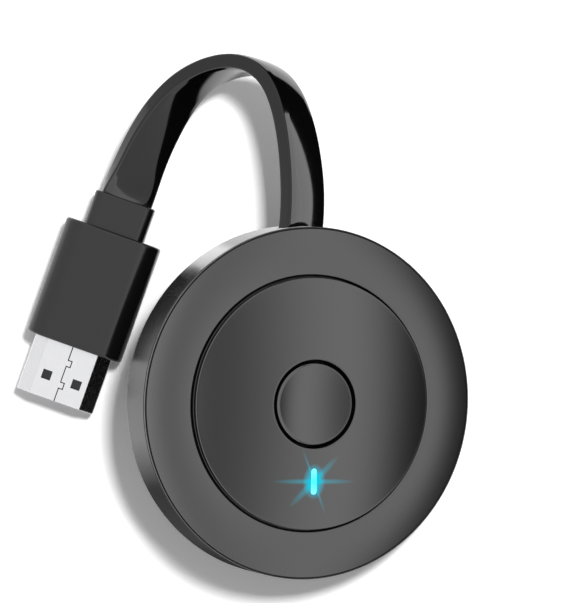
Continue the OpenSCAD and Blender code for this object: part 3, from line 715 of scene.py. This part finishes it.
# Cast acrylic, lit from below: it glows cyan, bluer in its middle and paler round its rim
acrylic, tree, surface = newMaterial("lit acrylic", {"Base Color": "#2fd6ea", "Roughness": 0.25, "IOR": 1.49})
place = addNode(tree, "ShaderNodeTexCoord").outputs["Object"]
middle = aroundLight(tree, place, 0, glow["pipeReach"], plate["lightLength"] / 2)
tint = addNode(tree, "ShaderNodeMix", {"data_type": "RGBA"},
               {6: toLinear(glow["pipeRim"]), 7: toLinear(glow["pipeMiddle"])}, {0: middle})
tree.links.new(tint.outputs[2], surface.inputs["Emission Color"])
surface.inputs["Emission Strength"].default_value = glow["pipeLevel"]
paint(lightPipe, acrylic)

# Extruded PVC, high gloss: black, with narrow bright reflections that follow its curve
leadPvc = grained("glossy black PVC", {"Base Color": "#050506", "Roughness": 0.06, "IOR": 1.5}, 3, 0.002,
                  None, (0.06, 0.1))[0]
paint(leadPiece, leadPvc)

# Overmoulded PVC, spark-eroded mould: satin black with soft edges to its highlights. Its grain is about
# 0.05 mm, and is drawn at 0.12 mm so that it shows.
overmould = grained("satin overmoulded PVC", {"Base Color": "#0e0e0f", "Roughness": 0.2, "IOR": 1.56},
                    0.12, 0.001, ("#0b0b0c", "#101011"), (0.18, 0.24))[0]
for piece in (housing, neck):
    paint(piece, overmould)

# Nickel plated steel, rolled: a pale even sheen, with faint streaks along the sheet
nickel = grained("nickel plated steel sheet", {"Base Color": "#e3e3e5", "Metallic": 1, "Roughness": 0.26},
                 0.2, 0.0002, ("#dfdfe1", "#e8e8ea"), (0.24, 0.29), (1, 12, 1))[0]
for piece in (metal, socket):
    paint(piece, nickel)

# Painted shade in the folded seam: a dark, dull material on the faces inside it, so that the seam reads as a
# dark line
seamShade = grained("painted seam shade", {"Base Color": "#141414", "Roughness": 0.6, "IOR": 1.5}, 0.1, 0.0005,
                  ("#101010", "#1a1a1a"), (0.5, 0.66))[0]


def inSeam(at):
    inside = topZ - sheet * plug["seamDark"] < at.z < topZ - near
    return inside and abs(at.x) < plug["jog"] + plug["seam"] and at.y > tip + plug["seamFrom"]


# painted shade on the faces inside the seam
paintWhere(metal, seamShade, plugFrame, inSeam)

# Inside. After each note: name, values, grain and relief in mm, colours, roughness, and the nodes.
insides = [
    # Stamped tinned steel: dull silver with a broad soft sheen
    ("tinned steel", {"Base Color": "#c9cbcd", "Metallic": 1, "Roughness": 0.34}, 0.4, 0.002,
     ("#c2c4c6", "#d0d2d4"), (0.3, 0.38), ("shield_can", "plug_inner_can", "heat_spreader", "switch_body")),
    # Turned steel, zinc plated: a little darker and patchier than the tin
    ("zinc plated screws", {"Base Color": "#b4b6b8", "Metallic": 1, "Roughness": 0.3}, 0.3, 0.002,
     ("#a9abae", "#bfc1c3"), (0.26, 0.36), ("board_screws",)),
    # Transfer moulded epoxy: matt charcoal with a fine grain
    ("moulded chip epoxy", {"Base Color": "#2b2c2e", "Roughness": 0.55, "IOR": 1.55}, 0.15, 0.004,
     ("#262729", "#313234"), (0.5, 0.62), ("processor_chip", "memory_chips", "flash_chip", "wireless_chip")),
    # Calendered silicone: a dull grey-blue pad that looks soft
    ("thermal silicone", {"Base Color": "#8fa6b5", "Roughness": 0.7, "IOR": 1.43}, 0.3, 0.01,
     ("#869dad", "#98aebc"), (0.62, 0.76), ("thermal_pad",)),
    # Pressed and fired ceramic: cream, half matt
    ("antenna ceramic", {"Base Color": "#d8d2c0", "Roughness": 0.5, "IOR": 1.6}, 0.25, 0.004,
     ("#d0c9b5", "#dfdacb"), (0.44, 0.56), ("antenna",)),
    # Drawn steel can with a thin gold wash: pale warm metal
    ("gold washed crystal can", {"Base Color": "#cdb878", "Metallic": 1, "Roughness": 0.28}, 0.3, 0.001,
     ("#c5ae6b", "#d6c389"), (0.24, 0.32), ("crystal",)),
    # Pressed ferrite powder: dark grey, rough and dry
    ("pressed ferrite", {"Base Color": "#3a3b3d", "Roughness": 0.6, "IOR": 1.6}, 0.12, 0.01,
     ("#323335", "#434446"), (0.54, 0.68), ("power_inductor",)),
    # Fired capacitor ceramic: tan, with a slight gloss
    ("fired capacitor ceramic", {"Base Color": "#b08a5c", "Roughness": 0.45, "IOR": 1.6}, 0.2, 0.004,
     ("#a67f50", "#ba9568"), (0.4, 0.5), ("board_capacitors",)),
    # Gold plate over stamped bronze: bright warm metal
    ("gold plated contacts", {"Base Color": "#d9b25a", "Metallic": 1, "Roughness": 0.25}, 0.2, 0.0005,
     ("#d2a94d", "#e0bc68"), (0.21, 0.29), ("usb_contacts", "hdmi_contacts")),
    # Injection moulded nylon with glass fibre: black, half matt
    ("glass filled nylon", {"Base Color": "#19191b", "Roughness": 0.5, "IOR": 1.53}, 0.12, 0.004,
     ("#151517", "#1e1e20"), (0.45, 0.56), ("usb_tongue", "hdmi_insulator", "switch_plunger", "cable_gland")),
    # Extruded wire insulation: smooth brick red
    ("wire PVC", {"Base Color": "#b5482f", "Roughness": 0.4, "IOR": 1.53}, 0.5, 0.002,
     ("#ab4029", "#bd5137"), (0.36, 0.45), ("cable_wires", "plug_wires")),
    # Phosphor in clear resin over the light emitter: an off-white wax
    ("light emitter phosphor", {"Base Color": "#f0efe4", "Roughness": 0.4, "IOR": 1.5}, 0.1, 0.004,
     ("#ebe8d6", "#f5f4ec"), (0.34, 0.46), ("light_emitter",)),
]
for name, values, grain, relief, colours, roughness, nodes in insides:
    finish = grained(name, values, grain, relief, colours, roughness)[0]
    for node in nodes:
        paint(node, finish)

# Solder mask printed on glass cloth and epoxy: glossy green, faintly streaked along the cloth
solderMask = grained("solder mask on glass epoxy", {"Base Color": "#1d5a3a", "Roughness": 0.35, "IOR": 1.55},
                     0.9, 0.01, ("#174c30", "#236644"), (0.3, 0.4), (1, 4, 1))[0]
paint("main_board", solderMask)
print("materials made")

# Floor, lamps and sky
studio = {
    "floorSize": 3.0,                         # m
    "floorLit": 0.85, "floorSeen": 1.3,       # the paper's tone as it lights, and as it is seen
    "skyLit": 0.34, "skySeen": 1.0,
    # what gloss sees of the sky, like a light tent: degrees from straight up, to the right, and the level
    "tent": [(-180, 0.95), (-60, 0.95), (-5, 1.0), (18, 1.4), (30.5, 1.2), (33.5, 0.2), (35, 0.2),
             (41, 0.55), (46, 0.98), (51.8, 1.25), (55.1, 0.95), (56.7, 0.3), (58.2, 0.0), (180, 0.0)],
    "tentMost": 2.0,                          # the level at the top of the curve
}

floorMesh = bpy.data.meshes.new("floor")
h = studio["floorSize"] / 2
floorMesh.from_pydata([(x, y, 0) for x, y in rectangle(-h, h, -h, h)], [], [(0, 1, 2, 3)])
floor = bpy.data.objects.new("floor", floorMesh)
bpy.context.scene.collection.objects.link(floor)
# Matt white paper: it keeps the object's soft shadow, and is white to the camera and in reflections
paper, tree, surface = newMaterial("matt white paper", {})
tree.nodes.remove(surface)
rays = addNode(tree, "ShaderNodeLightPath")
seen = addNode(tree, "ShaderNodeMath", {"operation": "MAXIMUM"},
               links={0: rays.outputs["Is Camera Ray"], 1: rays.outputs["Is Glossy Ray"]})
seenThrough = addNode(tree, "ShaderNodeMath", {"operation": "MAXIMUM"},
                      links={0: seen.outputs[0], 1: rays.outputs["Is Transmission Ray"]})
tone = addNode(tree, "ShaderNodeMix", {"data_type": "RGBA"},
               {6: [studio["floorLit"]] * 3 + [1], 7: [studio["floorSeen"]] * 3 + [1]},
               {0: seenThrough.outputs[0]})
diffuse = addNode(tree, "ShaderNodeBsdfDiffuse", links={"Color": tone.outputs[2]})
tree.links.new(diffuse.outputs[0], tree.nodes["Material Output"].inputs["Surface"])
floor.data.materials.append(paper)

# What only mirrors see: a black card under and beside the object, which keeps the right-hand flanks dark.
# Its cover is 1 where it is black and 0 where it lets the paper show, in between along its soft edge.
card = {
    "columns": [-60 + 2 * i for i in range(58)] + [60, 80, 120, 240, 900],      # mm
    "rows": [-600, -200] + [-80 + 2 * i for i in range(97)] + [120, 240, 800],
    "height": 0.4,
    # left, right, low and high of the places where it is fully black
    "black": [(53, 900, -600, 800), (13, 900, 41, 800), (3, 900, 41, 50), (-16, 900, -23, 41)],
    # below the object it fades in by the bearing from the origin, in degrees, and stands in for the shade
    # that the case wall mirrors there: a painted reflection of shade
    "fadeFrom": 193, "fadeOver": 20, "fadeMost": 0.88, "fadeLow": -62,
}


def cardCover(x, y):
    if any(left <= x <= right and low <= y <= high for left, right, low, high in card["black"]):
        return 1
    if y >= 0 or y <= card["fadeLow"]:
        return 0
    bearing = math.degrees(math.atan2(y, x)) % 360
    return min(card["fadeMost"], max(0, (bearing - card["fadeFrom"]) / card["fadeOver"]))


columns, rows = card["columns"], card["rows"]
count = len(columns)
cells = [(i + j * count, i + 1 + j * count, i + 1 + (j + 1) * count, i + (j + 1) * count)
         for j in range(len(rows) - 1) for i in range(count - 1)]
cardMesh = bpy.data.meshes.new("card")
cardMesh.from_pydata([(x * mm, y * mm, card["height"] * mm) for y in rows for x in columns], [], cells)
covering = cardMesh.attributes.new("cover", "FLOAT", "POINT")
covering.data.foreach_set("value", [cardCover(x, y) for y in rows for x in columns])
cardPiece = bpy.data.objects.new("card", cardMesh)
bpy.context.scene.collection.objects.link(cardPiece)
cardPiece.visible_camera = cardPiece.visible_diffuse = False
cardPiece.visible_shadow = cardPiece.visible_transmission = False
# Black flock: it gives back next to nothing
flock, tree, surface = newMaterial("black flock", {"Base Color": "#050505", "Roughness": 1.0,
                                                   "Specular IOR Level": 0.0})
covered = addNode(tree, "ShaderNodeAttribute", {"attribute_name": "cover"})
clear = addNode(tree, "ShaderNodeBsdfTransparent")
edged = addNode(tree, "ShaderNodeMixShader",
                links={0: covered.outputs["Fac"], 1: clear.outputs[0], 2: surface.outputs[0]})
tree.links.new(edged.outputs[0], tree.nodes["Material Output"].inputs["Surface"])
cardMesh.materials.append(flock)

lamps = {
    # centre and size in mm, the way that its back faces, turn in degrees, and radiance;
    # "only" is the one piece that it lights
    "key": {"at": (160, 230, 955), "from": (0.16, 0.23, 0.96), "size": (120, 120), "radiance": 160},
    "sideGlow": {"at": (84, 31, 31), "from": (1, 0, 0), "size": (62, 93), "radiance": 3, "only": leadPiece},
    "frontGlow": {"at": (-26.3, 34.4, 15.2), "from": (0.4226, -0.9063, 0), "turn": 22, "size": (18, 36),
                  "radiance": 0.95, "only": leadPiece},
    "wallTop": {"at": (-7, 53, 0.6), "from": (0, 0, -1), "size": (54, 54), "radiance": 1.35, "only": shell},
}
for name, lamp in lamps.items():
    data = bpy.data.lights.new(name, "AREA")
    data.shape = "RECTANGLE"
    data.size, data.size_y = [a * mm for a in lamp["size"]]
    data.energy = lamp["radiance"] * math.pi * data.size * data.size_y
    panel = bpy.data.objects.new(name, data)
    way = Vector(lamp["from"]).normalized()
    side = Vector((0, 1, 0)).cross(way).normalized()
    side.rotate(Matrix.Rotation(math.radians(lamp.get("turn", 0)), 3, way))
    panel.matrix_world = Matrix((side, way.cross(side), way)).transposed().to_4x4()
    panel.location = Vector(lamp["at"]) * mm
    panel.visible_camera = False
    panel.visible_glossy = "only" in lamp
    if "only" in lamp:
        group = bpy.data.collections.new(name)
        group.objects.link(lamp["only"])
        panel.light_linking.receiver_collection = group
        panel.light_linking.blocker_collection = group
    bpy.context.scene.collection.objects.link(panel)

# The sky lights the object evenly, shows the tent in gloss and glass, and is white to the camera
world = bpy.data.worlds.new("studio")
bpy.context.scene.world = world
world.use_nodes = True
tree = world.node_tree
sky = tree.nodes["Background"]
way = addNode(tree, "ShaderNodeTexCoord")
axes = addNode(tree, "ShaderNodeSeparateXYZ", links={"Vector": way.outputs["Generated"]})
turn = addNode(tree, "ShaderNodeMath", {"operation": "ARCTAN2"},
               links={0: axes.outputs[0], 1: axes.outputs[2]})
share = addNode(tree, "ShaderNodeMapRange", inputs={"From Min": -math.pi, "From Max": math.pi},
                links={"Value": turn.outputs[0]})
tent = addNode(tree, "ShaderNodeFloatCurve", links={"Value": share.outputs[0]})
curve = tent.mapping.curves[0]
points = [((degrees + 180) / 360, value / studio["tentMost"]) for degrees, value in studio["tent"]]
curve.points[0].location, curve.points[-1].location = points[0], points[-1]
for point in points[1:-1]:
    curve.points.new(*point)
for point in curve.points:
    point.handle_type = "VECTOR"
tent.mapping.update()
level = addNode(tree, "ShaderNodeMath", {"operation": "MULTIPLY"}, {1: studio["tentMost"]},
                {0: tent.outputs[0]})
rays = addNode(tree, "ShaderNodeLightPath")
seen = addNode(tree, "ShaderNodeMath", {"operation": "MAXIMUM"},
               links={0: rays.outputs["Is Glossy Ray"], 1: rays.outputs["Is Transmission Ray"]})
gloss = addNode(tree, "ShaderNodeMix", {"data_type": "FLOAT"}, {2: studio["skyLit"]},
                {0: seen.outputs[0], 3: level.outputs[0]})
strength = addNode(tree, "ShaderNodeMix", {"data_type": "FLOAT"}, {3: studio["skySeen"]},
                   {0: rays.outputs["Is Camera Ray"], 2: gloss.outputs[0]})
sky.inputs["Color"].default_value = (1, 1, 1, 1)
tree.links.new(strength.outputs[0], sky.inputs["Strength"])
bpy.context.scene.view_settings.view_transform = "Standard"
print("studio set")
